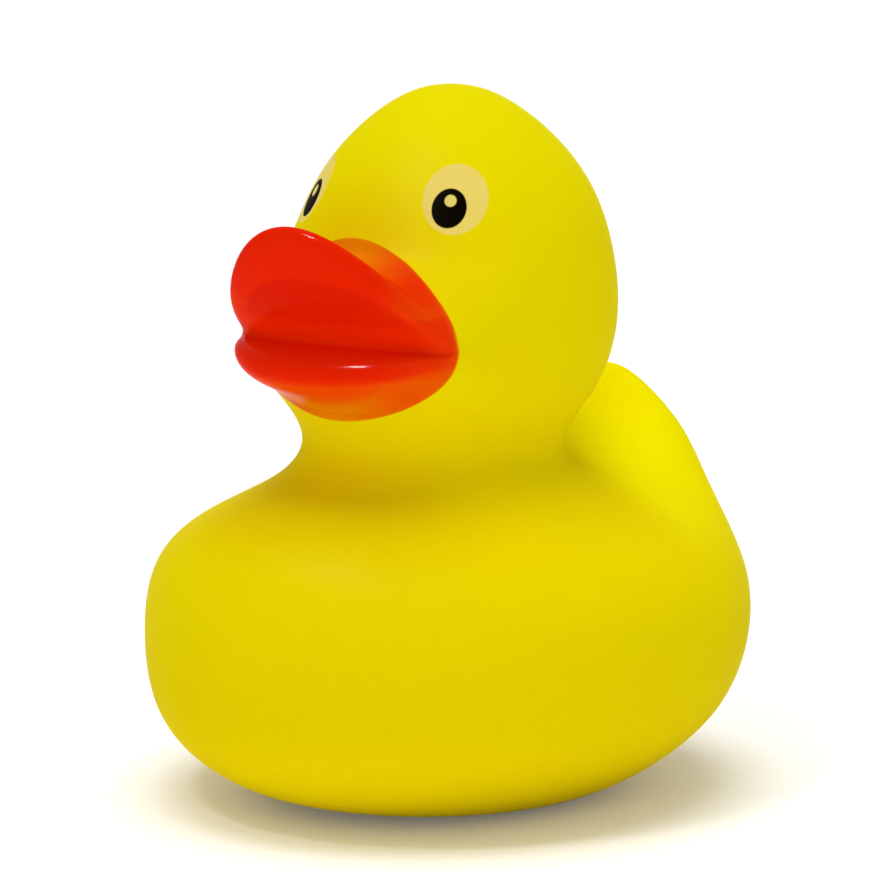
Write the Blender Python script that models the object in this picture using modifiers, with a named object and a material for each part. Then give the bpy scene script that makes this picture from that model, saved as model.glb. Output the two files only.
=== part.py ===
"""A squeaky bath duck: one hollow moulded vinyl shell, with a pressed-in whistle in its base.

The duck stands on its flat base at Z = 0, facing -Y, with its left wing towards +X. The outer skin is
half of a coarse cage of quads, mirrored and subdivided. The cage is lofted through level lines, like
the lines of a boat, and a bill and a tail grow out of two openings left in it. The hollow is the same
form with a plainer bill and tail, moved in by the wall.
"""

import math
from collections import namedtuple

import bmesh
import bpy
from mathutils import Matrix

MM = 0.001

# Main sizes over everything, in millimetres. The tables below give places as shares of half the
# width, half the length and the height, so each of these sizes stretches the whole shell.
WIDTH = 74.3
LENGTH = 82.1
HEIGHT = 89.5

# Moulded shell
WALL = 1.8
SKIN_LEVELS = 2
HOLLOW_LEVELS = 1

# Hole in the base for the squeaker, and the shallow recess round it that keeps it off the table.
# The floor of the hollow is higher than the wall by the depth of the recess.
HOLE_RADIUS = 5.5
RECESS_RADIUS = 8.6
RECESS_DEPTH = 1.5
FLOOR = WALL + RECESS_DEPTH

# Squeaker: a stiff plug with a flange under the floor, a barb above it and a stepped bore for air
FIT_GAP = 0.3
FLANGE_RADIUS = 7.8
FLANGE_THICKNESS = 0.8
BARB_RADIUS = 6.6
BARB_HEIGHT = 2.2
BARREL_RADIUS = 5.0
BARREL_TOP = 10.0
BORE_RADIUS = 3.6
BLOW_HOLE_RADIUS = 1.2
REED_SEAT = 1.2
CUT_BEYOND = 1.0
ROUND_SEGMENTS = 48

# Level lines of the body, neck and head, from the base up: how far each reaches forward, aft and
# sideways, and its height in front, at the side and behind.
Line = namedtuple("Line", "name front aft side z_front z_side z_aft")
LINES = [
    Line("sole", 0.256, 0.256, 0.283, 0.0, 0.0, 0.0),
    Line("footprint", 0.353, 0.353, 0.39, 0.0, 0.0, 0.0),
    Line("foot", 0.451, 0.438, 0.485, 0.0, 0.0, 0.0),
    Line("bilge", 0.78, 0.57, 0.673, 0.028, 0.028, 0.028),
    Line("hull", 1.014, 0.887, 0.942, 0.112, 0.112, 0.112),
    Line("beam", 1.006, 1.013, 1.015, 0.229, 0.229, 0.229),
    Line("topside", 0.986, 0.984, 0.985, 0.335, 0.33, 0.324),
    Line("shoulder", 0.916, 0.831, 0.781, 0.408, 0.397, 0.391),
    Line("deck", 0.628, 0.356, 0.485, 0.458, 0.447, 0.464),
    Line("neck", 0.514, 0.2, 0.393, 0.514, 0.508, 0.508),
    Line("jaw", 0.59, 0.438, 0.522, 0.57, 0.57, 0.57),
    Line("cheek", 0.553, 0.548, 0.576, 0.67, 0.67, 0.67),
    Line("bridge", 0.485, 0.516, 0.546, 0.782, 0.782, 0.782),
    Line("eye", 0.402, 0.446, 0.466, 0.872, 0.872, 0.872),
    Line("brow", 0.275, 0.3, 0.307, 0.947, 0.947, 0.947),
    Line("crown", 0.136, 0.139, 0.143, 0.992, 0.992, 0.992),
]
APEX = (0.0, -0.002, 1.007)
COLUMNS = 6

# A smoothed ring lies inside the corners of its cage, so the corners are set out by this much.
RING_FULLNESS = 1 / (2 / 3 + math.cos(math.pi / COLUMNS) / 3)

# The bill grows from the cage between these lines, this many columns wide on each side. Each loop
# runs from the top centre past the mouth corner to the bottom centre, and rises to its top with a
# power of the cosine, which makes the upper lip sweep up.
BILL_LINES = ("jaw", "cheek", "bridge")
BILL_COLUMNS = 2
BillLoop = namedtuple(
    "BillLoop", "name half_width corner_y corner_z top_y top_z top_power low_y low_z low_power"
)
BILL_LOOPS = [
    BillLoop("root", 0.479, -0.404, 0.661, -0.516, 0.787, 1.0, -0.572, 0.559, 1.0),
    BillLoop("fold", 0.471, -0.424, 0.659, -0.609, 0.769, 1.3, -0.636, 0.581, 1.0),
    BillLoop("rim_back", 0.468, -0.441, 0.658, -0.794, 0.858, 1.8, -0.784, 0.602, 1.0),
    BillLoop("rim_front", 0.466, -0.458, 0.656, -0.85, 0.834, 1.8, -0.809, 0.642, 1.7),
    BillLoop("lip", 0.455, -0.465, 0.654, -0.75, 0.737, 1.5, -0.702, 0.667, 1.0),
]
MOUTH = BillLoop("mouth", 0.439, -0.463, 0.651, -0.609, 0.659, 1.0, -0.609, 0.659, 1.0)
HOLLOW_BILL_LOOPS = [
    BillLoop("root", 0.474, -0.399, 0.661, -0.516, 0.787, 1.0, -0.548, 0.559, 1.0),
    BillLoop("fold", 0.425, -0.415, 0.659, -0.607, 0.767, 1.3, -0.594, 0.594, 1.0),
]
HOLLOW_MOUTH = BillLoop("mouth", 0.35, -0.44, 0.661, -0.633, 0.67, 1.0, -0.633, 0.67, 1.0)

# The tail grows from the cage behind the neck, this many columns wide on each side.
TAIL_LINES = ("topside", "shoulder", "deck")
TAIL_COLUMNS = 2
TailLoop = namedtuple("TailLoop", "name half_width y_front z_front y_back z_back")
TAIL_LOOPS = [
    TailLoop("root", 0.538, 0.409, 0.48, 0.965, 0.382),
    TailLoop("blade", 0.423, 0.57, 0.523, 0.879, 0.48),
    TailLoop("tip", 0.199, 0.68, 0.574, 0.787, 0.563),
]
TAIL_CAP = 0.009
HOLLOW_TAIL_LOOPS = TAIL_LOOPS[:1]


def sized(x, y, z):
    """A place in millimetres from its shares of half the width, half the length and the height."""
    return (x * WIDTH / 2, y * LENGTH / 2, z * HEIGHT)


def line_points(line):
    """Half of one level line of the cage, from the front centre round the left side to the back."""
    points = []
    for column in range(COLUMNS + 1):
        angle = math.pi * column / COLUMNS
        ahead = math.cos(angle)
        reach = line.front if ahead > 0 else line.aft
        z_end = line.z_front if ahead > 0 else line.z_aft
        points.append(
            sized(
                line.side * RING_FULLNESS * math.sin(angle) if column < COLUMNS else 0.0,
                -reach * RING_FULLNESS * ahead,
                line.z_side + (z_end - line.z_side) * ahead**2,
            )
        )
    return points


def bill_points(loop):
    """Half of one loop round the mouth, from the top centre past the left corner to the bottom."""
    points = []
    steps = 2 * BILL_COLUMNS + 2
    for step in range(steps + 1):
        angle = math.pi * step / steps
        rise = abs(math.cos(angle))
        upper = step < steps / 2
        y_end, z_end, power = (
            (loop.top_y, loop.top_z, loop.top_power) if upper else (loop.low_y, loop.low_z, loop.low_power)
        )
        if 2 * step == steps:
            rise = 0.0
        points.append(
            sized(
                loop.half_width * math.sin(angle) if 0 < step < steps else 0.0,
                loop.corner_y + (y_end - loop.corner_y) * rise,
                loop.corner_z + (z_end - loop.corner_z) * rise**power,
            )
        )
    return points


def tail_points(loop):
    """Half of one loop round the tail, from the front centre past the left edge to the back."""
    points = []
    steps = 2 * TAIL_COLUMNS + 2
    for step in range(steps + 1):
        angle = math.pi * step / steps
        share = (1 - math.cos(angle)) / 2
        points.append(
            sized(
                loop.half_width * math.sin(angle) if 0 < step < steps else 0.0,
                loop.y_front + (loop.y_back - loop.y_front) * share,
                loop.z_front + (loop.z_back - loop.z_front) * share,
            )
        )
    return points


def add_points(cage, points):
    return [cage.verts.new(point) for point in points]


def skin(cage, row_a, row_b):
    """Quads between two rows of the same number of corners."""
    for a, b, c, d in zip(row_a, row_a[1:], row_b[1:], row_b):
        cage.faces.new((a, b, c, d))


def fan(cage, ring, centre):
    """Quads that close half a ring to a point on the middle plane."""
    for a, b, c in zip(ring[0::2], ring[1::2], ring[2::2]):
        cage.faces.new((a, b, c, centre))


def grow_bill(cage, rows, loops, mouth_line):
    jaw, cheek, bridge = (rows[name] for name in BILL_LINES)
    last = BILL_COLUMNS
    loop = bridge[: last + 1] + [cheek[last]] + jaw[last::-1]
    for spare in cheek[:last]:
        cage.verts.remove(spare)
    for spec in loops:
        outer = add_points(cage, bill_points(spec))
        skin(cage, outer, loop)
        loop = outer
    mouth = add_points(cage, bill_points(mouth_line)[: last + 1])
    upper, corner, lower = loop[: last + 1], loop[last + 1], loop[: last + 1 : -1]
    skin(cage, mouth, upper)
    skin(cage, lower, mouth)
    cage.faces.new((corner, upper[-1], mouth[-1], lower[-1]))


def grow_tail(cage, rows, loops):
    topside, shoulder, deck = (rows[name] for name in TAIL_LINES)
    first = COLUMNS - TAIL_COLUMNS
    loop = deck[: first - 1 : -1] + [shoulder[first]] + topside[first:]
    for spare in shoulder[first + 1 :]:
        cage.verts.remove(spare)
    for spec in loops:
        outer = add_points(cage, tail_points(spec))
        skin(cage, outer, loop)
        loop = outer
    y_mid = (spec.y_front + spec.y_back) / 2
    z_mid = (spec.z_front + spec.z_back) / 2 + TAIL_CAP
    caps = [sized(0.0, y_mid, z_mid), sized(spec.half_width / 2, y_mid, z_mid)]
    middle, edge = add_points(cage, caps)
    cage.faces.new((loop[0], loop[1], edge, middle))
    cage.faces.new((loop[1], loop[2], loop[3], edge))
    cage.faces.new((edge, loop[3], loop[4], loop[5]))
    cage.faces.new((middle, edge, loop[5], loop[6]))


def half_cage(bill_loops, mouth_line, tail_loops):
    cage = bmesh.new()
    rows = {line.name: add_points(cage, line_points(line)) for line in LINES}
    names = [line.name for line in LINES]
    bill_start = names.index(BILL_LINES[0])
    tail_start = names.index(TAIL_LINES[0])
    for level, (lower, upper) in enumerate(zip(names, names[1:])):
        for column in range(COLUMNS):
            in_bill = level - bill_start in (0, 1) and column < BILL_COLUMNS
            in_tail = level - tail_start in (0, 1) and column >= COLUMNS - TAIL_COLUMNS
            if in_bill or in_tail:
                continue
            low, high = rows[lower], rows[upper]
            cage.faces.new((low[column], low[column + 1], high[column + 1], high[column]))
    fan(cage, rows[names[0]], cage.verts.new(sized(0.0, 0.0, 0.0)))
    fan(cage, rows[names[-1]], cage.verts.new(sized(*APEX)))
    grow_tail(cage, rows, tail_loops)
    grow_bill(cage, rows, bill_loops, mouth_line)
    return cage


def inward(cage, distance):
    """Moves every corner of a half cage in along its normal, and keeps its middle on the plane."""
    bmesh.ops.recalc_face_normals(cage, faces=cage.faces)
    cage.normal_update()
    moves = [(corner, corner.normal.copy(), corner.co.x == 0.0) for corner in cage.verts]
    for corner, normal, on_plane in moves:
        if on_plane:
            normal.x = 0.0
            normal.normalize()
        corner.co -= normal * distance
    return cage


def squeaker_profile():
    flange_top = RECESS_DEPTH - FIT_GAP
    flange_low = flange_top - FLANGE_THICKNESS
    neck = HOLE_RADIUS - FIT_GAP
    barb_low = FLOOR + FIT_GAP
    return [
        (BLOW_HOLE_RADIUS, flange_low),
        (FLANGE_RADIUS, flange_low),
        (FLANGE_RADIUS, flange_top),
        (neck, flange_top),
        (neck, barb_low),
        (BARB_RADIUS, barb_low),
        (BARREL_RADIUS, barb_low + BARB_HEIGHT),
        (BARREL_RADIUS, BARREL_TOP),
        (BORE_RADIUS, BARREL_TOP),
        (BORE_RADIUS, flange_low + REED_SEAT),
        (BLOW_HOLE_RADIUS, flange_low + REED_SEAT),
    ]


def new_object(name, mesh, collection):
    made = bpy.data.objects.new(name, mesh)
    collection.objects.link(made)
    return made


def moulded(name, cage, levels, collection):
    """A mirrored and subdivided object from a half cage in millimetres."""
    bmesh.ops.recalc_face_normals(cage, faces=cage.faces)
    bmesh.ops.transform(cage, matrix=Matrix.Scale(MM, 4), verts=cage.verts)
    mesh = bpy.data.meshes.new(name)
    cage.to_mesh(mesh)
    cage.free()
    made = new_object(name, mesh, collection)
    made.modifiers.new("mirror", "MIRROR").merge_threshold = 0.0001
    smooth = made.modifiers.new("smooth", "SUBSURF")
    smooth.levels = smooth.render_levels = levels
    return made


def turned(name, profile, collection):
    """A solid of revolution about Z from a profile of (radius, height) in millimetres.

    A profile that starts on the axis also ends there. Any other is closed back to its start.
    """
    outline = bmesh.new()
    corners = [outline.verts.new((radius * MM, 0.0, height * MM)) for radius, height in reversed(profile)]
    for a, b in zip(corners, corners[1:]):
        outline.edges.new((a, b))
    if profile[0][0] > 0:
        outline.edges.new((corners[-1], corners[0]))
    mesh = bpy.data.meshes.new(name)
    outline.to_mesh(mesh)
    outline.free()
    made = new_object(name, mesh, collection)
    spin = made.modifiers.new("spin", "SCREW")
    spin.steps = spin.render_steps = ROUND_SEGMENTS
    spin.use_merge_vertices = True
    spin.merge_threshold = 0.00001
    return made


def cut(target, cutter):
    boolean = target.modifiers.new(f"cut_{cutter.name}", "BOOLEAN")
    boolean.operation = "DIFFERENCE"
    boolean.solver = "EXACT"
    boolean.object = cutter


def finish(target, colour, roughness):
    material = bpy.data.materials.new(target.name)
    material.use_nodes = True
    shader = material.node_tree.nodes["Principled BSDF"]
    shader.inputs["Base Color"].default_value = (*colour, 1.0)
    shader.inputs["Roughness"].default_value = roughness
    target.data.materials.append(material)
    for face in target.data.polygons:
        face.use_smooth = True


def main():
    for old in list(bpy.data.objects):
        bpy.data.objects.remove(old)
    parts = bpy.data.collections.new("bath_duck")
    cutters = bpy.data.collections.new("cutters")
    for collection in (parts, cutters):
        bpy.context.scene.collection.children.link(collection)

    body = moulded("duck_body", half_cage(BILL_LOOPS, MOUTH, TAIL_LOOPS), SKIN_LEVELS, parts)
    hollow_cage = inward(half_cage(HOLLOW_BILL_LOOPS, HOLLOW_MOUTH, HOLLOW_TAIL_LOOPS), WALL)
    for corner in hollow_cage.verts:
        corner.co.z = max(corner.co.z, FLOOR)
    cut(body, moulded("hollow", hollow_cage, HOLLOW_LEVELS, cutters))
    recess = [
        (0.0, -CUT_BEYOND),
        (RECESS_RADIUS, -CUT_BEYOND),
        (RECESS_RADIUS, RECESS_DEPTH),
        (0.0, RECESS_DEPTH),
    ]
    cut(body, turned("recess", recess, cutters))
    hole = [
        (0.0, -CUT_BEYOND),
        (HOLE_RADIUS, -CUT_BEYOND),
        (HOLE_RADIUS, FLOOR + CUT_BEYOND),
        (0.0, FLOOR + CUT_BEYOND),
    ]
    cut(body, turned("squeaker_hole", hole, cutters))
    finish(body, (0.80, 0.67, 0.0), 0.5)

    finish(turned("squeaker", squeaker_profile(), parts), (0.85, 0.85, 0.82), 0.4)

    for cutter in cutters.objects:
        cutter.hide_render = True
        cutter.display_type = "WIRE"


main()
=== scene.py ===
# %% [markdown]
# # A squeaky bath duck
# A classic bath duck is one hollow moulding of soft vinyl. Its bill and eyes are paint on that
# moulding, and a stiff plug with a blow hole is pressed into its base. This file dresses the packed
# model: it makes a finer skin of the same form, gives it vinyl and paint, and lights it in a studio.

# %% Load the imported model
import math
from collections import namedtuple

import bmesh
import bpy
from mathutils import Matrix, Vector
from mathutils.bvhtree import BVHTree


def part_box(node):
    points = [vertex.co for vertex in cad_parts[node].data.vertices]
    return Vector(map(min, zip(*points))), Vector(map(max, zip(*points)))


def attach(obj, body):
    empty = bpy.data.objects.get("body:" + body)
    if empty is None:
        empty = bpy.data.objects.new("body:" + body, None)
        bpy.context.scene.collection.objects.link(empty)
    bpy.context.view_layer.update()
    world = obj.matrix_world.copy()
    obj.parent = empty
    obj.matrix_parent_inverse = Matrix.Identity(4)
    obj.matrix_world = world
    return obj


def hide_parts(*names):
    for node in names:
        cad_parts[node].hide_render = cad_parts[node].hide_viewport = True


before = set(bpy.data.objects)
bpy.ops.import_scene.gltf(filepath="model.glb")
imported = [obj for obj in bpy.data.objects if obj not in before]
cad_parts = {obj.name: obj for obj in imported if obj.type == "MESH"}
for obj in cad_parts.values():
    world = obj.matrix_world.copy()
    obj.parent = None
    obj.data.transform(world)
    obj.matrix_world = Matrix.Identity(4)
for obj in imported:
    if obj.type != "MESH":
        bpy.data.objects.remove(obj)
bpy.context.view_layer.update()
low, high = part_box("duck_body")
print("shell", [round((b - a) * 1000, 1) for a, b in zip(low, high)], "mm")

# %% [markdown]
# Two helpers serve every material. One turns the hex colours that a painter would name into the
# linear numbers that Blender mixes. The other adds a shader node with its settings and links, so
# that each material below reads as a list of what it is made of.

# %% Helpers for colours and shader nodes
MM = 0.001


def linear(hex_colour):
    """The linear RGBA of an sRGB colour written as six hex digits."""
    channels = [int(hex_colour[i : i + 2], 16) / 255 for i in (0, 2, 4)]
    return (*[c / 12.92 if c <= 0.04045 else ((c + 0.055) / 1.055) ** 2.4 for c in channels], 1.0)


def add_node(tree, kind, *terms, **settings):
    """Adds a node. Terms fill its inputs in order, and settings name its properties or inputs.

    A term is a number, a colour, a socket, or a node, which stands for its first output.
    """
    node = tree.nodes.new("ShaderNode" + kind)
    named = {}
    for key, setting in settings.items():
        if hasattr(node, key):
            setattr(node, key, setting)
        else:
            named[key.replace("_", " ")] = setting
    in_use = [socket for socket in node.inputs if socket.enabled]
    for socket, term in [*zip(in_use, terms), *((node.inputs[label], named[label]) for label in named)]:
        if isinstance(term, bpy.types.Node):
            term = next(output for output in term.outputs if output.enabled)
        if isinstance(term, bpy.types.NodeSocket):
            tree.links.new(term, socket)
        else:
            socket.default_value = term
    return node


print("black and white in linear", linear("000000")[0], linear("ffffff")[0])

# %% [markdown]
# The other helpers start a material, give the place of a point on its object, multiply shares, tell
# where the camera or a reflection looks straight at a surface, and put a new object into the scene.

# %% Helpers for materials and objects
def new_material(name):
    """A material with an empty node tree."""
    material = bpy.data.materials.new(name)
    material.use_nodes = True
    material.node_tree.nodes.clear()
    return material, material.node_tree


def in_millimetres(tree):
    """The place of a point on its object, in millimetres."""
    place = add_node(tree, "TexCoord").outputs["Object"]
    return add_node(tree, "VectorMath", place, 1 / MM, operation="SCALE")


def product(tree, share, *others):
    """The product of shares, such as how far a point lies in all of several areas at once."""
    for other in others:
        share = add_node(tree, "Math", share, other, operation="MULTIPLY")
    return share


def seen(tree):
    """One where the camera, a reflection or a clear body looks straight at the surface."""
    path = add_node(tree, "LightPath")
    rays = [path.outputs[f"Is {kind} Ray"] for kind in ("Camera", "Glossy", "Transmission")]
    nearest = add_node(tree, "Math", rays[0], rays[1], operation="MAXIMUM")
    return add_node(tree, "Math", nearest, rays[2], operation="MAXIMUM")


def new_object(name, data):
    """An object of a mesh, a lamp or a camera, in the scene."""
    made = bpy.data.objects.new(name, data)
    bpy.context.scene.collection.objects.link(made)
    return made


print("a millimetre is", MM, "m")

# %% [markdown]
# ## The form
# A duck's hull, neck and head could be sculpted, or pushed together from spheres. Here they are
# lofted like a boat: level lines, each with its reach ahead, behind and to the side, are joined by a
# coarse cage of quads. The numbers are shares of the duck's half length, half width and height, and
# the three sizes are in millimetres.

# %% The level lines
WIDTH = 74.3
LENGTH = 82.1
HEIGHT = 89.5
Line = namedtuple("Line", "name front aft side z_front z_side z_aft")
LINES = [
    Line("sole", 0.256, 0.256, 0.283, 0.0, 0.0, 0.0),
    Line("footprint", 0.353, 0.353, 0.39, 0.0, 0.0, 0.0),
    Line("foot", 0.451, 0.438, 0.485, 0.0, 0.0, 0.0),
    Line("bilge", 0.78, 0.57, 0.673, 0.028, 0.028, 0.028),
    Line("hull", 1.014, 0.887, 0.942, 0.112, 0.112, 0.112),
    Line("beam", 1.006, 1.013, 1.015, 0.229, 0.229, 0.229),
    Line("topside", 0.986, 0.984, 0.985, 0.335, 0.33, 0.324),
    Line("shoulder", 0.916, 0.831, 0.781, 0.408, 0.397, 0.391),
    Line("deck", 0.628, 0.356, 0.485, 0.458, 0.447, 0.464),
    Line("neck", 0.514, 0.2, 0.393, 0.514, 0.508, 0.508),
    Line("jaw", 0.59, 0.438, 0.522, 0.57, 0.57, 0.57),
    Line("cheek", 0.553, 0.548, 0.576, 0.67, 0.67, 0.67),
    Line("bridge", 0.485, 0.516, 0.546, 0.782, 0.782, 0.782),
    Line("eye", 0.402, 0.446, 0.466, 0.872, 0.872, 0.872),
    Line("brow", 0.275, 0.3, 0.307, 0.947, 0.947, 0.947),
    Line("crown", 0.136, 0.139, 0.143, 0.992, 0.992, 0.992),
]
APEX = (0.0, -0.002, 1.007)
print(len(LINES), "level lines, from", LINES[0].name, "to", LINES[-1].name)

# %% [markdown]
# Only the left half is made, because the mould is the same on both sides. Each line has a corner
# every 30 degrees. A smoothed ring lies inside the corners of its cage, so the corners are set out by
# the ring's fullness.

# %% The corners of a level line
COLUMNS = 6
RING_FULLNESS = 1 / (2 / 3 + math.cos(math.pi / COLUMNS) / 3)


def sized(x, y, z):
    """A place in millimetres from its shares of half the width, half the length and the height."""
    return (x * WIDTH / 2, y * LENGTH / 2, z * HEIGHT)


def line_points(line):
    """Half of one level line of the cage, from the front centre round the left side to the back."""
    points = []
    for column in range(COLUMNS + 1):
        angle = math.pi * column / COLUMNS
        ahead = math.cos(angle)
        reach = line.front if ahead > 0 else line.aft
        z_end = line.z_front if ahead > 0 else line.z_aft
        points.append(
            sized(
                line.side * RING_FULLNESS * math.sin(angle) if column < COLUMNS else 0.0,
                -reach * RING_FULLNESS * ahead,
                line.z_side + (z_end - line.z_side) * ahead**2,
            )
        )
    return points


print("each line has", len(line_points(LINES[0])), "corners")

# %% [markdown]
# The bill grows out of an opening that the cage leaves in the face, loop by loop: the root on the
# face, the fold behind the lips, the round rim of the lips, the inside of the lips, and the line
# where they meet. The upper lip sweeps up to its middle, and the lower one stays nearly level.

# %% The loops of the bill
BILL_LINES = ("jaw", "cheek", "bridge")
BILL_COLUMNS = 2
BillLoop = namedtuple(
    "BillLoop", "name half_width corner_y corner_z top_y top_z top_power low_y low_z low_power"
)
BILL_LOOPS = [
    BillLoop("root", 0.479, -0.404, 0.661, -0.516, 0.787, 1.0, -0.572, 0.559, 1.0),
    BillLoop("fold", 0.471, -0.424, 0.659, -0.609, 0.769, 1.3, -0.636, 0.581, 1.0),
    BillLoop("rim_back", 0.468, -0.441, 0.658, -0.794, 0.858, 1.8, -0.784, 0.602, 1.0),
    BillLoop("rim_front", 0.466, -0.458, 0.656, -0.85, 0.834, 1.8, -0.809, 0.642, 1.7),
    BillLoop("lip", 0.455, -0.465, 0.654, -0.75, 0.737, 1.5, -0.702, 0.667, 1.0),
]
MOUTH = BillLoop("mouth", 0.439, -0.463, 0.651, -0.609, 0.659, 1.0, -0.609, 0.659, 1.0)


def bill_points(loop):
    """Half of one loop round the mouth, from the top centre past the left corner to the bottom."""
    points = []
    steps = 2 * BILL_COLUMNS + 2
    for step in range(steps + 1):
        angle = math.pi * step / steps
        rise = abs(math.cos(angle)) if 2 * step != steps else 0.0
        if step < steps / 2:
            y_end, z_end, power = loop.top_y, loop.top_z, loop.top_power
        else:
            y_end, z_end, power = loop.low_y, loop.low_z, loop.low_power
        points.append(
            sized(
                loop.half_width * math.sin(angle) if 0 < step < steps else 0.0,
                loop.corner_y + (y_end - loop.corner_y) * rise,
                loop.corner_z + (z_end - loop.corner_z) * rise**power,
            )
        )
    return points


upper = BILL_LOOPS[3]
print("the upper lip reaches", [round(c, 1) for c in sized(0.0, upper.top_y, upper.top_z)], "mm")

# %% [markdown]
# The tail grows out of another opening, behind the neck, in three loops: its root on the hull, its
# blade, and its tip. Each loop leans aft, so it has a height in front and another at the back.

# %% The loops of the tail
TAIL_LINES = ("topside", "shoulder", "deck")
TAIL_COLUMNS = 2
TailLoop = namedtuple("TailLoop", "name half_width y_front z_front y_back z_back")
TAIL_LOOPS = [
    TailLoop("root", 0.538, 0.409, 0.48, 0.965, 0.382),
    TailLoop("blade", 0.423, 0.57, 0.523, 0.879, 0.48),
    TailLoop("tip", 0.199, 0.68, 0.574, 0.787, 0.563),
]
TAIL_CAP = 0.009


def tail_points(loop):
    """Half of one loop round the tail, from the front centre past the left edge to the back."""
    points = []
    steps = 2 * TAIL_COLUMNS + 2
    for step in range(steps + 1):
        angle = math.pi * step / steps
        share = (1 - math.cos(angle)) / 2
        points.append(
            sized(
                loop.half_width * math.sin(angle) if 0 < step < steps else 0.0,
                loop.y_front + (loop.y_back - loop.y_front) * share,
                loop.z_front + (loop.z_back - loop.z_front) * share,
            )
        )
    return points


tail_tip = TAIL_LOOPS[-1]
print("the tail reaches", [round(c, 1) for c in sized(0.0, tail_tip.y_front, tail_tip.z_front)], "mm")

# %% [markdown]
# Rows of corners become faces with three small moves: a strip of quads between two rows, a fan that
# closes a ring, and loops grown one from the last.

# %% The moves that make the half cage
def add_points(cage, points):
    """Corners at the points, in their order."""
    return [cage.verts.new(point) for point in points]


def strip(cage, row_a, row_b):
    """Quads between two rows of the same number of corners."""
    for a, b, c, d in zip(row_a, row_a[1:], row_b[1:], row_b):
        cage.faces.new((a, b, c, d))


def fan(cage, ring, centre):
    """Quads that close half a ring to a point on the middle plane."""
    for a, b, c in zip(ring[0::2], ring[1::2], ring[2::2]):
        cage.faces.new((a, b, c, centre))


print("three moves")

# %% [markdown]
# The faces inside an opening are never made. The corner in its middle is taken out, and the first
# loop is joined to the corners round it.

# %% Growing the bill
def grow_bill(cage, rows):
    """Takes a bill out of the opening between the jaw and the bridge, up to the mouth line."""
    jaw, cheek, bridge = (rows[name] for name in BILL_LINES)
    last = BILL_COLUMNS
    loop = bridge[: last + 1] + [cheek[last]] + jaw[last::-1]
    for spare in cheek[:last]:
        cage.verts.remove(spare)
    for spec in BILL_LOOPS:
        outer = add_points(cage, bill_points(spec))
        strip(cage, outer, loop)
        loop = outer
    mouth = add_points(cage, bill_points(MOUTH)[: last + 1])
    upper, corner, lower = loop[: last + 1], loop[last + 1], loop[: last + 1 : -1]
    strip(cage, mouth, upper)
    strip(cage, lower, mouth)
    cage.faces.new((corner, upper[-1], mouth[-1], lower[-1]))


print("the bill has", len(BILL_LOOPS) + 1, "loops")

# %% [markdown]
# The tail ends in a small cap of four quads, round which the smoothing makes a blunt edge.

# %% Growing the tail
def grow_tail(cage, rows):
    """Takes a tail out of the opening between the topside and the deck, up to its blunt tip."""
    topside, shoulder, deck = (rows[name] for name in TAIL_LINES)
    first = COLUMNS - TAIL_COLUMNS
    loop = deck[: first - 1 : -1] + [shoulder[first]] + topside[first:]
    for spare in shoulder[first + 1 :]:
        cage.verts.remove(spare)
    for spec in TAIL_LOOPS:
        outer = add_points(cage, tail_points(spec))
        strip(cage, outer, loop)
        loop = outer
    y_mid = (spec.y_front + spec.y_back) / 2
    z_mid = (spec.z_front + spec.z_back) / 2 + TAIL_CAP
    caps = [sized(0.0, y_mid, z_mid), sized(spec.half_width / 2, y_mid, z_mid)]
    middle, edge = add_points(cage, caps)
    cage.faces.new((loop[0], loop[1], edge, middle))
    cage.faces.new((loop[1], loop[2], loop[3], edge))
    cage.faces.new((edge, loop[3], loop[4], loop[5]))
    cage.faces.new((middle, edge, loop[5], loop[6]))


print("the tail has", len(TAIL_LOOPS), "loops")

# %% [markdown]
# The rows are joined level by level, with the two openings left out. Half a fan closes the sole and
# the crown.

# %% The half cage
def half_cage():
    """The left half of the duck as a coarse cage of quads, in millimetres."""
    cage = bmesh.new()
    rows = {line.name: add_points(cage, line_points(line)) for line in LINES}
    names = [line.name for line in LINES]
    bill_start = names.index(BILL_LINES[0])
    tail_start = names.index(TAIL_LINES[0])
    for level, (lower, upper) in enumerate(zip(names, names[1:])):
        for column in range(COLUMNS):
            in_bill = level - bill_start in (0, 1) and column < BILL_COLUMNS
            painted_tail_light = level - tail_start in (0, 1) and column >= COLUMNS - TAIL_COLUMNS
            if not (in_bill or painted_tail_light):
                below, above = rows[lower], rows[upper]
                cage.faces.new((below[column], below[column + 1], above[column + 1], above[column]))
    fan(cage, rows[names[0]], cage.verts.new(sized(0.0, 0.0, 0.0)))
    fan(cage, rows[names[-1]], cage.verts.new(sized(*APEX)))
    grow_tail(cage, rows)
    grow_bill(cage, rows)
    bmesh.ops.recalc_face_normals(cage, faces=cage.faces)
    return cage


cage = half_cage()
print("half cage", len(cage.faces), "faces")

# %% [markdown]
# The half cage is mirrored and smoothed by subdivision, which turns its coarse quads into a skin
# with no facets to see. The recess in the base and the hole for the plug are cut out of it with
# booleans, so the underside is as true as the rest. The hollow can't be seen, so it stays in the CAD.

# %% Tools for the cuts
ROUND_SEGMENTS = 96
MERGE_DISTANCE = 0.00001


def turned(name, profile):
    """A cutter of revolution about Z from a profile of (radius, height) that ends on the axis."""
    outline = bmesh.new()
    corners = [outline.verts.new((r * MM, 0.0, z * MM)) for r, z in reversed(profile)]
    for a, b in zip(corners, corners[1:]):
        outline.edges.new((a, b))
    mesh = bpy.data.meshes.new(name)
    outline.to_mesh(mesh)
    outline.free()
    made = new_object(name, mesh)
    spin = made.modifiers.new("spin", "SCREW")
    spin.steps = spin.render_steps = ROUND_SEGMENTS
    spin.use_merge_vertices = True
    spin.merge_threshold = MERGE_DISTANCE
    return made


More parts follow.
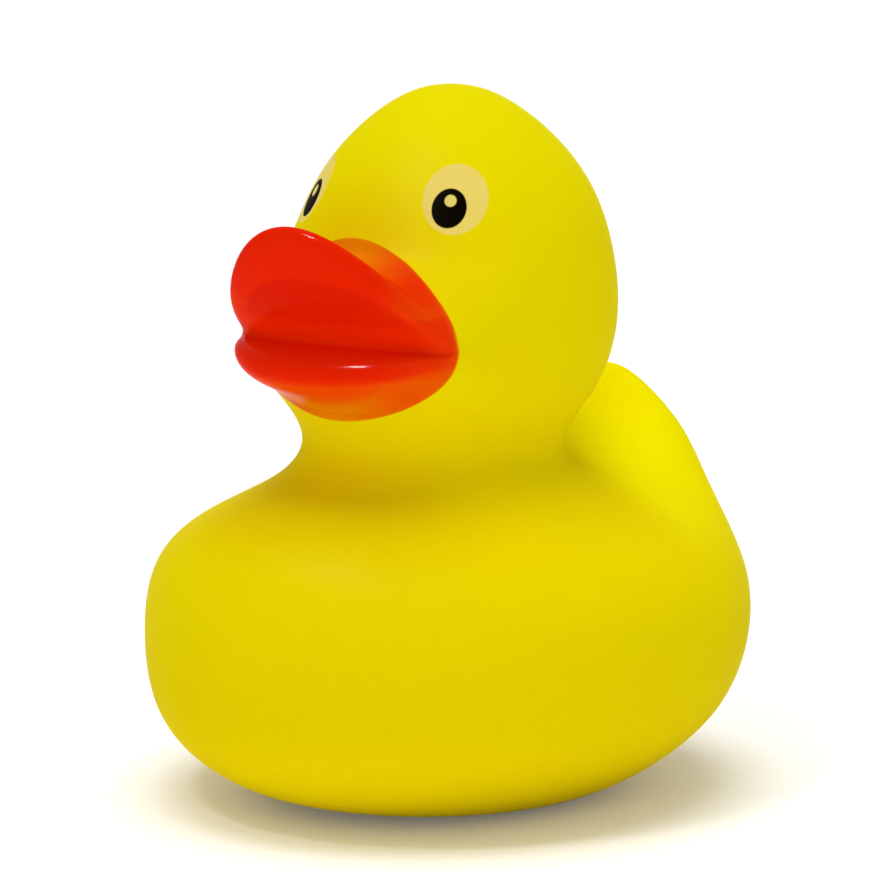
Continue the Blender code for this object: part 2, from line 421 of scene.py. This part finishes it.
def applied(piece, name):
    """The piece with its modifiers made real, under a new name."""
    graph = bpy.context.evaluated_depsgraph_get()
    mesh = bpy.data.meshes.new_from_object(piece.evaluated_get(graph))
    mesh.name = name
    made = new_object(name, mesh)
    bpy.data.objects.remove(piece)
    return made


print("a cutter is turned in", ROUND_SEGMENTS, "steps")

# %% [markdown]
# Blender keeps the mirror, the smoothing and the cuts as a list of modifiers on the cage. The list
# stays open until the last cut is in it.

# %% The smoothed cage
SKIN_LEVELS = 4
MIRROR_MERGE = 0.0001
bmesh.ops.transform(cage, matrix=Matrix.Scale(MM, 4), verts=cage.verts)
mesh = bpy.data.meshes.new("cage")
cage.to_mesh(mesh)
cage.free()
cage_object = new_object("cage", mesh)
cage_object.modifiers.new("mirror", "MIRROR").merge_threshold = MIRROR_MERGE
smooth = cage_object.modifiers.new("smooth", "SUBSURF")
smooth.levels = smooth.render_levels = SKIN_LEVELS
print("each quad becomes", 4**SKIN_LEVELS)

# %% [markdown]
# The recess keeps the plug's flange off the table. Its edge is eased, as a mould's is.

# %% The recess and the hole
RECESS_RADIUS, RECESS_DEPTH = 8.6, 1.5
HOLE_RADIUS, HOLE_DEPTH = 5.5, 12.0
EASED, EASED_MIDDLE = 0.5, 0.15
CLEAR = 1.0
recess = turned(
    "recess",
    [
        (0.0, -CLEAR),
        (RECESS_RADIUS + EASED, -CLEAR),
        (RECESS_RADIUS + EASED, 0.0),
        (RECESS_RADIUS + EASED_MIDDLE, EASED_MIDDLE),
        (RECESS_RADIUS, EASED),
        (RECESS_RADIUS, RECESS_DEPTH),
        (0.0, RECESS_DEPTH),
    ],
)
hole = turned("hole", [(0.0, 0.0), (HOLE_RADIUS, 0.0), (HOLE_RADIUS, HOLE_DEPTH), (0.0, HOLE_DEPTH)])
for cutter in (recess, hole):
    cut = cage_object.modifiers.new(cutter.name, "BOOLEAN")
    cut.operation = "DIFFERENCE"
    cut.solver = "EXACT"
    cut.object = cutter
shell = applied(cage_object, "moulded_shell")
for cutter in (recess, hole):
    bpy.data.objects.remove(cutter)
for face in shell.data.polygons:
    face.use_smooth = True
print("skin", len(shell.data.polygons), "faces")

# %% [markdown]
# ## Where the paint goes
# The eyes are pad-printed: a soft pad presses a flat picture onto the curved face, so each picture is
# a true ellipse seen along the line in which the pad came. The bill is sprayed through a mask, so its
# edge lies on the face as a slightly wavy oval.

# %% Places of the eyes
EYE_HEIGHT = 75.66
EYE_OUT = 10.43
EYE_TILT = math.radians(12.0)
RIGHT_EYE_SHIFT = 1.3
skin_tree = BVHTree.FromPolygons(
    [v.co for v in shell.data.vertices], [tuple(p.vertices) for p in shell.data.polygons]
)


def on_face(x, z):
    """The point of the face straight behind a point ahead of it, and the face's normal there."""
    ahead = Vector((x, -LENGTH, z)) * MM
    place, normal, index, distance = skin_tree.ray_cast(ahead, Vector((0.0, 1.0, 0.0)))
    return place / MM, normal


pupil, eye_out = on_face(EYE_OUT, EYE_HEIGHT)
level_side = Vector((0.0, 0.0, 1.0)).cross(eye_out).normalized()
level_up = eye_out.cross(level_side).normalized()
eye_up = level_up * math.cos(EYE_TILT) + level_side * math.sin(EYE_TILT)
eye_side = level_side * math.cos(EYE_TILT) - level_up * math.sin(EYE_TILT)
print("eye at", [round(c, 1) for c in pupil], "facing", [round(c, 2) for c in eye_out])

# %% [markdown]
# Every area is worked out in the shader from the place of each point in millimetres, with the
# sideways place made positive so that both sides are painted alike. That keeps the edges crisp at
# any resolution. In the cells below, a pair of numbers says where an area begins and where it is
# full. It is in millimetres, unless its cell says otherwise.

# %% The painted vinyl's node tree and its coordinates
paint, tree = new_material("painted_soft_vinyl")
SMOOTHLY = {"interpolation_type": "SMOOTHSTEP"}
RGBA = {"data_type": "RGBA"}
in_mm = in_millimetres(tree)
axes = add_node(tree, "SeparateXYZ", in_mm)
side = add_node(tree, "Math", axes.outputs["X"], operation="ABSOLUTE")
fore, height = axes.outputs["Y"], axes.outputs["Z"]
mirrored = add_node(tree, "CombineXYZ", side, fore, height)
print("the shader starts with", len(tree.nodes), "nodes")

# %% [markdown]
# Each eye is a cream oval, a black pupil low and forward in it, and a cream glint, all leaning back
# a little. The pad set the right eye down slightly further out than the left, as the photo shows.

# %% The eyes' picture
PICTURE_DEPTH = 6.0
is_right = add_node(tree, "Math", axes.outputs["X"], 0.0, operation="LESS_THAN")
shift = add_node(tree, "VectorMath", tuple(level_side * RIGHT_EYE_SHIFT), is_right, operation="SCALE")
from_pupil = add_node(tree, "VectorMath", mirrored, tuple(pupil), operation="SUBTRACT")
from_pupil = add_node(tree, "VectorMath", from_pupil, shift, operation="SUBTRACT")
across, along, toward = (
    add_node(tree, "VectorMath", from_pupil, tuple(axis), operation="DOT_PRODUCT")
    for axis in (eye_side, eye_up, eye_out)
)
on_picture = add_node(tree, "CombineXYZ", across, along, 0.0)
near_face = add_node(tree, "Math", toward, -PICTURE_DEPTH, operation="GREATER_THAN")
print("the picture lies on the", PICTURE_DEPTH, "mm of face nearest to it")

# %% [markdown]
# An oval's share is one inside and zero outside, with an edge as wide as the ink's own, about
# 0.1 mm. Three of them make an eye.

# %% The ovals of an eye
INK_EDGE = 0.06


def oval(offset_across, offset_along, half_width, half_height):
    """One inside an oval of the eye's picture, placed from the pupil's centre in millimetres."""
    middle, reach = (offset_across, offset_along, 0.0), (half_width, half_height, 1.0)
    from_middle = add_node(tree, "VectorMath", on_picture, middle, operation="SUBTRACT")
    shares = add_node(tree, "VectorMath", from_middle, reach, operation="DIVIDE")
    radius = add_node(tree, "VectorMath", shares, operation="LENGTH")
    edge = INK_EDGE / half_width
    inside = add_node(tree, "MapRange", radius, 1 + edge, 1 - edge, 0.0, 1.0, **SMOOTHLY)
    return product(tree, inside, near_face)


white_of_eye = oval(0.45, 1.4, 3.97, 4.76)
pupil_area = oval(0.0, 0.0, 2.12, 2.62)
glint_area = oval(-0.05, 0.98, 0.73, 0.8)
print("each eye is three ovals, tilted by", round(math.degrees(EYE_TILT)), "degrees")

# %% [markdown]
# The bill's mask is an oval on the face. It is taller and more pointed above the corners of the
# mouth than below, and it widens towards the front so that it takes in the whole of both lips, the
# upper one a little sooner. It ends where the cheek turns back. The powers are those of a
# superellipse, and a round middle keeps the oval's top from coming to a point.

# %% The reach of the bill's mask
CORNER_HEIGHT = 59.2
MASK_HALF_WIDTH = 16.7
MASK_ABOVE, POWER_ABOVE = 12.8, 1.65
MASK_BELOW, POWER_BELOW = 9.5, 1.85
MASK_BACK, BACK_ROUNDING, BACK_PULL = 19.9, 2.0, 0.8
MIDDLE_WIDTH, MIDDLE_ROUNDING = 1.2, 2.4
WIDENS, WIDEST = (-24.0, -31.0), 1.8
LIP_LEAD = 3.3
above = add_node(tree, "Math", height, CORNER_HEIGHT, operation="SUBTRACT")
is_above = add_node(tree, "Math", above, 0.0, operation="GREATER_THAN")
reach = add_node(tree, "Math", is_above, MASK_ABOVE - MASK_BELOW, MASK_BELOW, operation="MULTIPLY_ADD")
more_above = POWER_ABOVE - POWER_BELOW
power = add_node(tree, "Math", is_above, more_above, POWER_BELOW, operation="MULTIPLY_ADD")
ahead = add_node(tree, "Math", is_above, -LIP_LEAD, fore, operation="MULTIPLY_ADD")
widening = add_node(tree, "MapRange", ahead, *WIDENS, 1.0, WIDEST, **SMOOTHLY)
past_back = add_node(tree, "Math", fore, MASK_BACK, operation="ADD")
past_back = add_node(tree, "Math", past_back, 0.0, BACK_ROUNDING, operation="SMOOTH_MAX")
aside = add_node(tree, "Math", side, MIDDLE_WIDTH, MIDDLE_ROUNDING, operation="SMOOTH_MAX")
aside = add_node(tree, "Math", past_back, BACK_PULL, aside, operation="MULTIPLY_ADD")
up_or_down = add_node(tree, "Math", above, operation="ABSOLUTE")
print("the bill's paint is", 2 * MASK_HALF_WIDTH, "mm wide and", MASK_ABOVE + MASK_BELOW, "mm high")

# %% [markdown]
# The shares of the reach sideways and up or down add up to one on the oval's edge. Noise bends that
# edge a little, as the edge of a sprayed mask wanders. The back of the head lies outside.

# %% The edge of the bill's mask
EDGE_SCALE = 12.0
WANDER_SIZE, WANDER_DEPTH = 6.25, 0.2
EDGE_FADE = (-0.05, 0.09)
FRONT_HALF = (-13.0, -14.0)
shares = []
for distance, full in ((aside, MASK_HALF_WIDTH), (up_or_down, reach)):
    full = add_node(tree, "Math", widening, full, operation="MULTIPLY")
    share = add_node(tree, "Math", distance, full, operation="DIVIDE")
    shares.append(add_node(tree, "Math", share, power, operation="POWER"))
radius = add_node(tree, "Math", *shares, operation="ADD")
one_over_power = add_node(tree, "Math", 1.0, power, operation="DIVIDE")
radius = add_node(tree, "Math", radius, one_over_power, operation="POWER")
inside = add_node(tree, "Math", radius, -EDGE_SCALE, EDGE_SCALE, operation="MULTIPLY_ADD")
wander = add_node(tree, "TexNoise", Vector=in_mm, Scale=1 / WANDER_SIZE, Detail=1.0, Roughness=0.5)
wander = add_node(tree, "Math", wander, 0.5, operation="SUBTRACT")
inside = add_node(tree, "Math", wander, WANDER_DEPTH, inside, operation="MULTIPLY_ADD")
painted = add_node(tree, "MapRange", inside, *EDGE_FADE, 0.0, 1.0, **SMOOTHLY)
on_front = add_node(tree, "MapRange", fore, *FRONT_HALF, 0.0, 1.0, **SMOOTHLY)
bill_area = product(tree, painted, on_front)
print("the edge wanders every", WANDER_SIZE, "mm")

# %% [markdown]
# Clear red enamel over yellow vinyl looks orange where the coat is thin: at the mask's edge, in the
# folds behind the lips, and under the lower lip, where the spray from the front and above hardly
# reaches. On the lips the coat is full. How far a face looks down is its normal's height, which is
# -1 straight down.

# %% How much spray reaches each place
MOUTH_HEIGHT = 59.6
ON_LIPS = (-23.5, -29.5)
NEAR_CORNER, CORNER_COAT = (1.0, 13.0), 0.8
BETWEEN_LIPS = (5.2, 3.4)
LOOKING_DOWN, SHADE = (-0.25, -0.75), 0.5
LOWER_LIP = (MOUTH_HEIGHT - 1.0, MOUTH_HEIGHT - 3.0)
LAST_CORNER, LAST_COAT = (10.0, 16.0), 0.7
on_lips = add_node(tree, "MapRange", fore, *ON_LIPS, 0.0, 1.0, **SMOOTHLY)
near_corner = add_node(tree, "MapRange", side, *NEAR_CORNER, 0.0, CORNER_COAT, **SMOOTHLY)
from_mouth = add_node(tree, "Math", height, MOUTH_HEIGHT, operation="SUBTRACT")
from_mouth = add_node(tree, "Math", from_mouth, operation="ABSOLUTE")
between_lips = add_node(tree, "MapRange", from_mouth, *BETWEEN_LIPS, 0.0, 1.0, **SMOOTHLY)
in_reach = add_node(tree, "Math", on_lips, near_corner, operation="MAXIMUM")
in_reach = add_node(tree, "Math", in_reach, between_lips, operation="MAXIMUM")
facing = add_node(tree, "SeparateXYZ", add_node(tree, "NewGeometry").outputs["Normal"])
facing_up = facing.outputs["Z"]
shadowed = add_node(tree, "MapRange", facing_up, *LOOKING_DOWN, 0.0, SHADE, **SMOOTHLY)
below_mouth = add_node(tree, "MapRange", height, *LOWER_LIP, 0.0, 1.0, **SMOOTHLY)
lit = add_node(tree, "Math", 1.0, product(tree, shadowed, below_mouth), operation="SUBTRACT")
at_corner = add_node(tree, "MapRange", side, *LAST_CORNER, 1.0, LAST_COAT, **SMOOTHLY)
sprayed = product(tree, in_reach, lit, at_corner)
print("the coat is full from", -ON_LIPS[1], "mm forward")

# %% [markdown]
# The thickness of the coat picks its tone from a ramp, from the orange of the thinnest to the deep
# red of the full one. The coat thins once more along the mask's edge.

# %% The enamel's tones
THINNEST = 0.26
THIN_EDGE, EDGE_COAT = (-0.1, 0.5), 0.75
ENAMEL_TONES = ((0.12, "eb9a00"), (0.35, "ec7300"), (0.55, "ee5203"), (0.78, "ec3202"), (1.0, "eb2200"))
thickness = add_node(tree, "Math", sprayed, 1 - THINNEST, THINNEST, operation="MULTIPLY_ADD")
from_edge = add_node(tree, "MapRange", inside, *THIN_EDGE, EDGE_COAT, 1.0, **SMOOTHLY)
enamel = add_node(tree, "ValToRGB", product(tree, thickness, from_edge))
stops = enamel.color_ramp.elements
for stop, (share, tone) in zip(stops, (ENAMEL_TONES[0], ENAMEL_TONES[-1])):
    stop.position, stop.color = share, linear(tone)
for share, tone in ENAMEL_TONES[1:-1]:
    stops.new(share).color = linear(tone)
print("enamel tones", [tone for share, tone in ENAMEL_TONES])

# %% [markdown]
# Close to the line where the lips meet, they pass light on to each other, so a lighter red keeps the
# fold from going dark. The fold lies over the lower lip, under the upper one, and off the corners.

# %% The fold between the lips
FOLD_RED, FOLD_SHARE = "ff3200", 0.75
OVER_LOWER_LIP = (MOUTH_HEIGHT - 2.0, MOUTH_HEIGHT + 0.5)
UNDER_UPPER_LIP = (MOUTH_HEIGHT + 4.0, MOUTH_HEIGHT + 1.5)
OFF_CORNER = (15.0, 10.0)
over_lower = add_node(tree, "MapRange", height, *OVER_LOWER_LIP, 0.0, FOLD_SHARE, **SMOOTHLY)
under_upper = add_node(tree, "MapRange", height, *UNDER_UPPER_LIP, 0.0, 1.0, **SMOOTHLY)
off_corner = add_node(tree, "MapRange", side, *OFF_CORNER, 0.0, 1.0, **SMOOTHLY)
in_fold = product(tree, over_lower, under_upper, off_corner)
enamel = add_node(tree, "Mix", in_fold, enamel, linear(FOLD_RED), **RGBA)
print("the fold is lighter up to", round(UNDER_UPPER_LIP[0] - MOUTH_HEIGHT, 1), "mm above the mouth")

# %% [markdown]
# The glossy inner face of the upper lip mirrors the deeper red of the lower lip. That reflection is
# painted on as an oval of deeper red in the lip's hollow: a painted reflection. The oval is seen from
# the front, so its depth is given no limit.

# %% The painted reflection in the upper lip's hollow
REFLECTED_LIP_RED, REFLECTION_SHARE = "d41200", 0.5
ANY_DEPTH = 1000.0
REFLECTION_MIDDLE = (1.3, 0.0, MOUTH_HEIGHT)
REFLECTION_REACH = (13.6, ANY_DEPTH, 8.4)
REFLECTION_EDGE = (1.03, 0.95)
INNER_FACE = (-0.2, -0.4)
OVER_MOUTH = (MOUTH_HEIGHT, MOUTH_HEIGHT + 5.0)
from_middle = add_node(tree, "VectorMath", in_mm, REFLECTION_MIDDLE, operation="SUBTRACT")
shares = add_node(tree, "VectorMath", from_middle, REFLECTION_REACH, operation="DIVIDE")
radius = add_node(tree, "VectorMath", shares, operation="LENGTH")
in_reflection_oval = add_node(tree, "MapRange", radius, *REFLECTION_EDGE, 0.0, REFLECTION_SHARE, **SMOOTHLY)
on_inner = add_node(tree, "MapRange", facing_up, *INNER_FACE, 0.0, 1.0, **SMOOTHLY)
over_mouth = add_node(tree, "MapRange", height, *OVER_MOUTH, 0.0, 1.0, **SMOOTHLY)
painted_lip_reflection = product(tree, in_reflection_oval, on_inner, over_mouth)
# The oval's deeper red is a painted reflection of the lower lip in the upper lip's gloss.
enamel = add_node(tree, "Mix", painted_lip_reflection, enamel, linear(REFLECTED_LIP_RED), **RGBA)
print("the hollow is", 2 * REFLECTION_REACH[0], "mm wide")

# %% [markdown]
# Soft vinyl is dyed through, so its colour is even, but the wall is thicker in some places than in
# others and the light goes a little way in. A broad, faint change of tone and some subsurface
# scattering show that. The crown is painted a little brighter than the rest of the head: painted light
# on the top of the head.

# %% The vinyl's tone on the body, and painted light on the crown
DYED = ("ecd700", "f2df00")
CLOUD_SIZE = 22.2
LIT_CROWN_YELLOW, CROWN_LIGHT_SHARE = "f1e400", 0.8
UP_HEAD = (70.0, 90.0)
cloud = add_node(tree, "TexNoise", Vector=in_mm, Scale=1 / CLOUD_SIZE, Detail=3.0, Roughness=0.55)
dyed = add_node(tree, "Mix", cloud, linear(DYED[0]), linear(DYED[1]), **RGBA)
painted_crown_light = add_node(tree, "MapRange", height, *UP_HEAD, 0.0, CROWN_LIGHT_SHARE, **SMOOTHLY)
# The crown's brighter yellow is painted light.
vinyl = add_node(tree, "Mix", painted_crown_light, dyed, linear(LIT_CROWN_YELLOW), **RGBA)
print("the dye goes from", DYED[0], "to", DYED[1])

# %% [markdown]
# The tail is painted the brightest yellow of the duck: painted light on the vinyl. It is found by its
# place, aft and high, under a slope that parts it from the back of the head. Towards its far edge the
# painted light is weaker.

# %% Painted light on the tail
TAIL_LIGHT_YELLOW = "fff600"
AFT = (4.0, 15.0)
RAISED = (30.0, 46.0)
NEAR_NAPE, EDGE_SHARE = (32.0, 16.0), 0.4
SLOPE = 0.6
UNDER_HEAD = (40.5, 38.0)
aft = add_node(tree, "MapRange", fore, *AFT, 0.0, 1.0, **SMOOTHLY)
raised = add_node(tree, "MapRange", height, *RAISED, 0.0, 1.0, **SMOOTHLY)
near_nape = add_node(tree, "MapRange", fore, *NEAR_NAPE, EDGE_SHARE, 1.0, **SMOOTHLY)
over_slope = add_node(tree, "Math", fore, -SLOPE, height, operation="MULTIPLY_ADD")
under_head = add_node(tree, "MapRange", over_slope, *UNDER_HEAD, 0.0, 1.0, **SMOOTHLY)
painted_tail_light = product(tree, aft, raised, near_nape, under_head)
# The tail's brighter yellow is painted light.
vinyl = add_node(tree, "Mix", painted_tail_light, vinyl, linear(TAIL_LIGHT_YELLOW), **RGBA)
print("the tail is", TAIL_LIGHT_YELLOW)

# %% [markdown]
# The vinyl is painted a deeper, warmer yellow round the neck and towards the foot: painted shade.

# %% Painted shade round the neck and towards the foot
NECK_HEIGHT, ROUND_NECK = 40.0, (14.0, 2.0)
NECK_SHADE_YELLOW, NECK_SHADE_SHARE = "e6c400", 0.22
FOOT_SHADE_YELLOW, FOOT_SHADE_SHARE = "e0c600", 0.9
DOWN_HULL = (36.0, 0.0)
from_neck_shade = add_node(tree, "Math", height, NECK_HEIGHT, operation="SUBTRACT")
from_neck_shade = add_node(tree, "Math", from_neck_shade, operation="ABSOLUTE")
neck_shade_band = add_node(tree, "MapRange", from_neck_shade, *ROUND_NECK, 0.0, NECK_SHADE_SHARE, **SMOOTHLY)
before_tail = add_node(tree, "Math", 1.0, aft, operation="SUBTRACT")
painted_neck_shade = product(tree, neck_shade_band, before_tail)
# The deeper yellow round the neck is painted shade.
vinyl = add_node(tree, "Mix", painted_neck_shade, vinyl, linear(NECK_SHADE_YELLOW), **RGBA)
painted_foot_shade = add_node(tree, "MapRange", height, *DOWN_HULL, 0.0, FOOT_SHADE_SHARE, **SMOOTHLY)
# The deeper yellow towards the foot is painted shade.
vinyl = add_node(tree, "Mix", painted_foot_shade, vinyl, linear(FOOT_SHADE_YELLOW), **RGBA)
print("the neck is", NECK_SHADE_YELLOW, "and the foot", FOOT_SHADE_YELLOW)

# %% [markdown]
# The paints lie over the vinyl one after another, as they go on in the works: the bill's enamel,
# then the white of the eye, the pupil, and the glint on it.

# %% The paints over the vinyl
colour = vinyl
paints = (
    (bill_area, enamel),
    (white_of_eye, linear("f2da6c")),
    (pupil_area, linear("0b0600")),
    (glint_area, linear("ead970")),
)
for area, over in paints:
    colour = add_node(tree, "Mix", area, colour, over, **RGBA)
print(len(paints), "paints over the vinyl")

# %% [markdown]
# Enamel is glossier than vinyl, and the eyes' ink lies between them. The vinyl's skin has the
# mould's fine satin grain and its slow waves, and the enamel fills the grain.

# %% Roughness and relief
VINYL_ROUGHNESS, ENAMEL_ROUGHNESS = 0.46, 0.20
INK_SHARE = 0.5
GRAIN_SIZE, GRAIN_DEPTH = 0.357, 0.06
WAVE_SIZE, WAVE_SHARE = 8.33, 2.0
FILLED = 0.9
grain = add_node(tree, "TexNoise", Vector=in_mm, Scale=1 / GRAIN_SIZE, Detail=2.0, Roughness=0.6)
waves = add_node(tree, "TexNoise", Vector=in_mm, Scale=1 / WAVE_SIZE, Detail=1.0)
inked = add_node(tree, "Math", white_of_eye, INK_SHARE, operation="MULTIPLY")
coated = add_node(tree, "Math", bill_area, inked, operation="MAXIMUM")
gloss = ENAMEL_ROUGHNESS - VINYL_ROUGHNESS
roughness = add_node(tree, "Math", coated, gloss, VINYL_ROUGHNESS, operation="MULTIPLY_ADD")
grain_left = add_node(tree, "Math", coated, -FILLED, 1.0, operation="MULTIPLY_ADD")
grain = product(tree, grain, grain_left)
relief = add_node(tree, "Math", waves, WAVE_SHARE, grain, operation="MULTIPLY_ADD")
bump = add_node(tree, "Bump", Strength=0.25, Distance=GRAIN_DEPTH * MM, Height=relief)
print("the grain is", GRAIN_SIZE, "mm wide")

# %% [markdown]
# Light goes about two millimetres into soft vinyl, red the furthest and blue hardly at all. Its satin
# skin spreads a highlight so far that none shows under soft lamps, so its specular level is next to
# nothing. The enamel adds a thin clear coat, which mirrors the catch light.

# %% The finished vinyl
LIGHT_DEPTH = 2.0
CLEAR_COAT = 0.025
shader = add_node(
    tree,
    "BsdfPrincipled",
    Base_Color=colour,
    Roughness=roughness,
    IOR=1.5,
    Normal=bump,
    Specular_IOR_Level=0.002,
    Subsurface_Weight=0.12,
    Subsurface_Radius=(1.0, 0.75, 0.05),
    Subsurface_Scale=LIGHT_DEPTH * MM,
    Coat_Weight=add_node(tree, "Math", bill_area, CLEAR_COAT, operation="MULTIPLY"),
    Coat_Roughness=0.08,
    Coat_IOR=1.5,
)
add_node(tree, "OutputMaterial", shader)
shell.data.materials.clear()
shell.data.materials.append(paint)
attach(shell, "root")
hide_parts("duck_body")
print("painted vinyl has", len(tree.nodes), "nodes")

# %% [markdown]
# ## The squeaker
# The plug is injection moulded in natural polythene: a milky, waxy white, with faint rings from the
# turning of its mould. A wave texture turns by 20 radians in each unit of length, so the rings'
# spacing gives its scale. The plug's CAD shape is right, so it only gets its material.

# %% The squeaker's material
MILK_SIZE = 3.33
RING_SPACING, RING_DEPTH = 0.349, 0.03
WAVE_TURN = 20.0
plastic, tree = new_material("natural_polythene")
in_mm = in_millimetres(tree)
milky = add_node(tree, "TexNoise", Vector=in_mm, Scale=1 / MILK_SIZE, Detail=2.0)
body_colour = add_node(tree, "Mix", milky, linear("e4e3da"), linear("efeee8"), **RGBA)
rings = {"wave_type": "RINGS", "rings_direction": "Z", "Scale": math.tau / WAVE_TURN / RING_SPACING}
turned_rings = add_node(tree, "TexWave", Vector=in_mm, Distortion=0.4, Detail=1.0, **rings)
bump = add_node(tree, "Bump", Strength=0.2, Distance=RING_DEPTH * MM, Height=turned_rings)
shader = add_node(
    tree,
    "BsdfPrincipled",
    Base_Color=body_colour,
    Roughness=0.42,
    IOR=1.51,
    Normal=bump,
    Subsurface_Weight=0.2,
    Subsurface_Scale=1.0 * MM,
)
add_node(tree, "OutputMaterial", shader)
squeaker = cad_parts["squeaker"]
for slot in squeaker.material_slots:
    slot.material = plastic
print("squeaker", [round(size / MM, 1) for size in squeaker.dimensions], "mm")

# %% [markdown]
# ## The studio
# The duck stands on a white sweep under a broad soft light from above and a little in front. The
# floor and the backdrop read as plain white to the camera and in reflections, and the floor keeps
# the duck's shadow.

# %% The floor
FLOOR_REACH = 3.0
FLOOR_LIFT = 0.1
FIBRE_SIZE = 2.5
floor_mesh = bpy.data.meshes.new("floor")
corners = [(x * FLOOR_REACH, y * FLOOR_REACH, 0.0) for x, y in ((-1, -1), (1, -1), (1, 1), (-1, 1))]
floor_mesh.from_pydata(corners, [], [(0, 1, 2, 3)])
floor = new_object("floor", floor_mesh)
paper, tree = new_material("white_paper_floor")
fibres = add_node(tree, "TexNoise", Vector=in_millimetres(tree), Scale=1 / FIBRE_SIZE, Detail=3.0)
paper_colour = add_node(tree, "Mix", fibres, linear("fcfcfc"), linear("ffffff"), **RGBA)
shader = add_node(
    tree,
    "BsdfPrincipled",
    Base_Color=paper_colour,
    Roughness=0.8,
    Emission_Color=linear("ffffff"),
    Emission_Strength=add_node(tree, "Math", seen(tree), FLOOR_LIFT, operation="MULTIPLY"),
)
add_node(tree, "OutputMaterial", shader)
floor_mesh.materials.append(paper)
print("floor", 2 * FLOOR_REACH, "m square")

# %% [markdown]
# The room's own light is even and weak. Only the camera, a reflection or a clear body sees the white
# backdrop, so its brightness adds no light to the duck.

# %% The room's light and the backdrop
AMBIENT = 0.40
BACKDROP = 1.0
world = bpy.data.worlds.new("studio")
bpy.context.scene.world = world
world.use_nodes = True
tree = world.node_tree
tree.nodes.clear()
ambient = add_node(tree, "Background", linear("ffffff"), AMBIENT)
backdrop = add_node(tree, "Background", linear("ffffff"), BACKDROP)
mixed = add_node(tree, "MixShader", seen(tree), ambient, backdrop)
add_node(tree, "OutputWorld", mixed)
print("room light", AMBIENT)

# %% [markdown]
# Two broad lamps stand in for a studio's soft boxes: the sky from above, and a weaker fill from
# beside the camera. They don't show in reflections, where their edges would look like stains on the
# satin vinyl. A third, small lamp is there for its reflections: it makes the short bright lines on
# the wet-looking enamel.

# %% The lamps
LAMP_DISTANCE = 0.9


def add_lamp(name, kind, direction, **settings):
    """A lamp that shines from a direction at the duck."""
    data = bpy.data.lights.new(name, kind)
    for key, setting in settings.items():
        setattr(data, key, setting)
    lamp = new_object(name, data)
    toward = Vector(direction).normalized()
    lamp.location = toward * LAMP_DISTANCE
    lamp.rotation_euler = toward.to_track_quat("Z", "Y").to_euler()
    return lamp


sky = add_lamp("skylight", "SUN", (0.0, 0.0, 1.0), energy=1.58, angle=math.radians(38.0))
fill = add_lamp("side_fill", "SUN", (0.60, -0.75, 0.30), energy=0.44, angle=math.radians(50.0))
sky.visible_glossy = fill.visible_glossy = False
catch_light = {"shape": "RECTANGLE", "size": 0.15, "size_y": 0.10, "energy": 56.0}
catch = add_lamp("catch_light", "AREA", (-0.06, -0.51, 0.87), **catch_light)
catch.visible_diffuse = False
print("lamps", [lamp.name for lamp in (sky, fill, catch)])

# %% [markdown]
# ## The camera
# The photo was taken from the duck's front left and a little above, with a long lens.

# %% The camera
AZIMUTH, ELEVATION = math.radians(37.0), math.radians(9.0)
DISTANCE = 0.520
AIM = Vector((-0.0006, -0.00135, 0.0445))
SENSOR_WIDTH, FOCAL_LENGTH = 36.0, 168.0
NEAREST = 0.01
level = math.cos(ELEVATION)
back = Vector((math.sin(AZIMUTH) * level, -math.cos(AZIMUTH) * level, math.sin(ELEVATION)))
right = Vector((math.cos(AZIMUTH), math.sin(AZIMUTH), 0.0))
camera_data = bpy.data.cameras.new("camera")
camera_data.sensor_width = SENSOR_WIDTH
camera_data.lens = FOCAL_LENGTH
camera_data.clip_start = NEAREST
camera = new_object("camera", camera_data)
camera.matrix_world = Matrix((right, back.cross(right), back)).transposed().to_4x4()
camera.location = AIM + back * DISTANCE
bpy.context.scene.camera = camera
bpy.context.scene.view_settings.view_transform = "Standard"
print("camera at", [round(c, 3) for c in camera.location])
